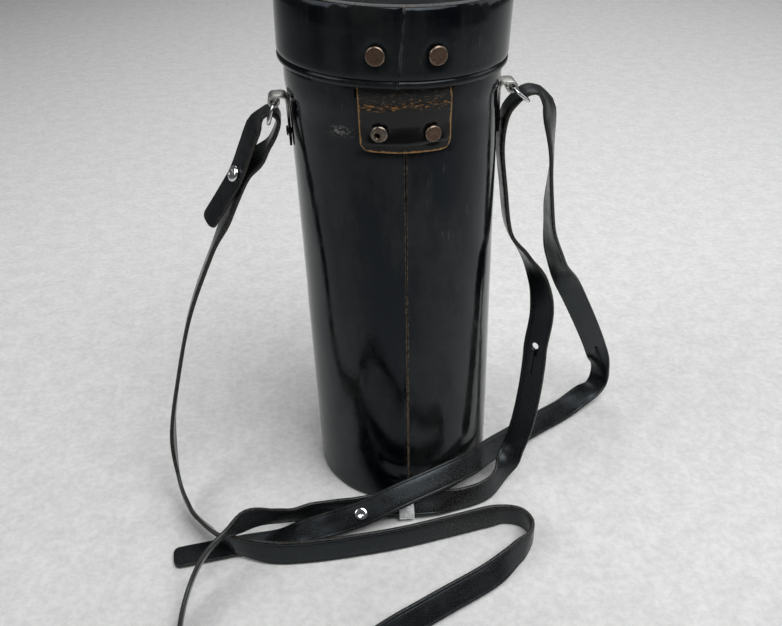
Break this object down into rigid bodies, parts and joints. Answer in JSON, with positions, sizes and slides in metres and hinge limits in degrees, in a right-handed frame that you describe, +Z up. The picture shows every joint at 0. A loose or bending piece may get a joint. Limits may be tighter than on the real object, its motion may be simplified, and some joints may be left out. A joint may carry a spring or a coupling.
{
  "type": "leather carrying case",
  "caption": "Tall black leather cylinder case with a riveted leather lid hinge, closing tab and a long shoulder strap through wire rings.",
  "frame": {"origin": "centre of the case's flat underside, on its axis", "axes": "+Z up along the case axis towards the lid, -Y towards the leather hinge at the back, +Y towards the closing tab, -X and +X towards the strap lugs"},
  "size_m": [0.2787, 0.2215, 0.2783],
  "materials": {
    "black_leather": "polished black hard leather",
    "strap_leather": "semi-gloss black strap leather",
    "hinge_leather": "worn black leather with tan cracks",
    "collar_board": "dark leather board",
    "felt": "felt",
    "oxidised_rivet": "oxidised copper rivet",
    "dull_nickel": "dull nickel-plated sheet",
    "chrome": "chrome"
  },
  "bodies": {
    "case": {"body_shell": "black_leather", "base_disc": "black_leather", "base_pad": "felt", "mouth_collar": "collar_board", "hinge_lower_leaf": "hinge_leather", "hinge_rivet_left": "oxidised_rivet", "hinge_rivet_right": "oxidised_rivet", "lug_left": "dull_nickel", "lug_right": "dull_nickel", "lug_rivet_left": "dull_nickel", "lug_rivet_right": "dull_nickel", "snap_stud": "dull_nickel", "snap_post": "dull_nickel", "shoulder_strap": "strap_leather", "left_stud": "chrome", "left_stud_back": "chrome", "tail_stud": "chrome", "tail_stud_back": "chrome"},
    "lid": {"lid_wall": "black_leather", "lid_top_disc": "black_leather", "lid_pad": "felt", "hinge_upper_leaf": "hinge_leather", "lid_rivet_left": "oxidised_rivet", "lid_rivet_right": "oxidised_rivet", "closing_tab_anchor": "black_leather", "closing_tab_rivet_left": "oxidised_rivet", "closing_tab_rivet_right": "oxidised_rivet"},
    "closing_flap": {"closing_tab_flap": "black_leather", "snap_cap": "dull_nickel", "snap_socket": "dull_nickel"},
    "left_ring": {"ring_left": "chrome"},
    "right_ring": {"ring_right": "chrome"},
    "keeper": {"strap_keeper": "chrome"}
  },
  "joints": [
    {"name": "lid_hinge", "type": "hinge", "parent": "case", "child": "lid", "pos_m": [0, -0.0541, 0.239], "axis": [1, 0, 0], "range_deg": [0, 120]},
    {"name": "closing_flap_flex", "type": "hinge", "parent": "lid", "child": "closing_flap", "pos_m": [0, 0.0569, 0.2464], "axis": [1, 0, 0], "range_deg": [0, 75]},
    {"name": "left_ring_swing", "type": "hinge", "parent": "case", "child": "left_ring", "pos_m": [-0.05787, 0, 0.22613], "axis": [0, 1, 0], "range_deg": [-20, 110], "deforming": ["shoulder_strap"]},
    {"name": "right_ring_swing", "type": "hinge", "parent": "case", "child": "right_ring", "pos_m": [0.05808, 0, 0.22628], "axis": [0, -1, 0], "range_deg": [-50, 80], "deforming": ["shoulder_strap"]},
    {"name": "keeper_slide", "type": "slide", "parent": "case", "child": "keeper", "axis": [0.9988, -0.0499, 0], "range_m": [-0.006, 0.006]}
  ]
}
